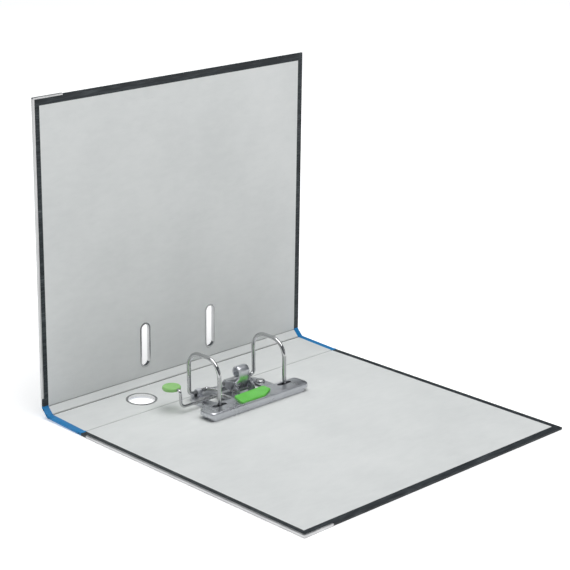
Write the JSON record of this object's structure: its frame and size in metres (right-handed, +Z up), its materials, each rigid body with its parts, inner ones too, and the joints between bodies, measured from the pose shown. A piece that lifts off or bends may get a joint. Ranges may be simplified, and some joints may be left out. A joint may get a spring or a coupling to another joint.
{
  "type": "lever arch file",
  "caption": "Open lever arch file: stiff folding covers and spine, pull ring, slotted front cover, wire arches, finger lever with roller, and a sliding press bar.",
  "frame": {"origin": "centre of the open file's footprint, on the surface that the back cover lies on", "axes": "+X from the spine across the back cover, +Y towards the file's top edge, +Z up; the front cover stands upright"},
  "size_m": [0.34, 0.318, 0.2935],
  "materials": {
    "board": "matte",
    "marbled_paper": "satin marbled",
    "lining_paper": "matte",
    "spine_blue": "satin",
    "guard_steel": "satin",
    "label_paper": "satin",
    "label_black": "satin",
    "nickel": "polished nickel",
    "nickel_plate": "bright nickel",
    "spring_steel": "satin",
    "roller_steel": "satin",
    "green_plastic": "gloss",
    "green_knob": "satin"
  },
  "bodies": {
    "root": {"back_board": "board", "back_cover_paper": "marbled_paper", "back_lining": "lining_paper", "back_edge_guard": "guard_steel", "lower_crease": "spine_blue", "base_plate": "nickel_plate", "base_rivets": "nickel", "lower_post": "nickel", "upper_post": "nickel", "axle_straps": "nickel_plate", "opening_spring": "spring_steel", "lever_pivot_pin": "nickel"},
    "spine": {"spine_board": "board", "spine_cloth": "spine_blue", "spine_lining": "lining_paper", "spine_crease": "spine_blue", "title_label": "label_paper", "label_band": "label_black", "pull_ring": "nickel"},
    "hinge_strip": {"strip_board": "board", "strip_cloth": "spine_blue", "strip_lining": "lining_paper", "cover_crease": "spine_blue"},
    "front_cover": {"front_board": "board", "front_cover_paper": "marbled_paper", "front_lining": "lining_paper", "front_edge_guard": "guard_steel", "lower_slot_ring": "nickel", "upper_slot_ring": "nickel"},
    "arches": {"arch_yoke": "nickel"},
    "lever": {"finger_lever": "nickel_plate", "roller_pin": "nickel"},
    "roller": {"lever_roller": "roller_steel"},
    "press_bar": {"press_bar": "nickel_plate", "press_pad": "green_plastic", "handle_wire": "nickel", "thumb_knob": "green_knob"}
  },
  "joints": [
    {"name": "spine_fold", "type": "hinge", "parent": "root", "child": "spine", "pos_m": [-0.11349, 0, 0.0012], "axis": [0, -1, 0], "range_deg": [-88, 2]},
    {"name": "strip_fold", "type": "hinge", "parent": "spine", "child": "hinge_strip", "pos_m": [-0.16146, 0, 0.00287], "axis": [0, -1, 0], "range_deg": [-3.5, 43.45]},
    {"name": "cover_fold", "type": "hinge", "parent": "hinge_strip", "child": "front_cover", "pos_m": [-0.16848, 0, 0.01], "axis": [0, -1, 0], "range_deg": [-3.55, 43.5]},
    {"name": "lever_swing", "type": "hinge", "parent": "root", "child": "lever", "pos_m": [-0.07449, 0, 0.0126], "axis": [0, 1, 0], "range_deg": [0, 45]},
    {"name": "arch_swing", "type": "hinge", "parent": "root", "child": "arches", "pos_m": [-0.10449, 0, 0.0094], "axis": [0, -1, 0], "range_deg": [0, 80.1]},
    {"name": "roller_spin", "type": "hinge", "parent": "lever", "child": "roller", "pos_m": [-0.09179, 0, 0.0152], "axis": [0, 1, 0], "continuous": true},
    {"name": "press_bar_slide", "type": "slide", "parent": "root", "child": "press_bar", "axis": [0, 0, 1], "range_m": [0, 0.028]}
  ],
  "couplings": [
    {"joint": "cover_fold", "follows": "strip_fold", "ratio": 1},
    {"joint": "arch_swing", "follows": "lever_swing", "ratio": 1.7778}
  ]
}
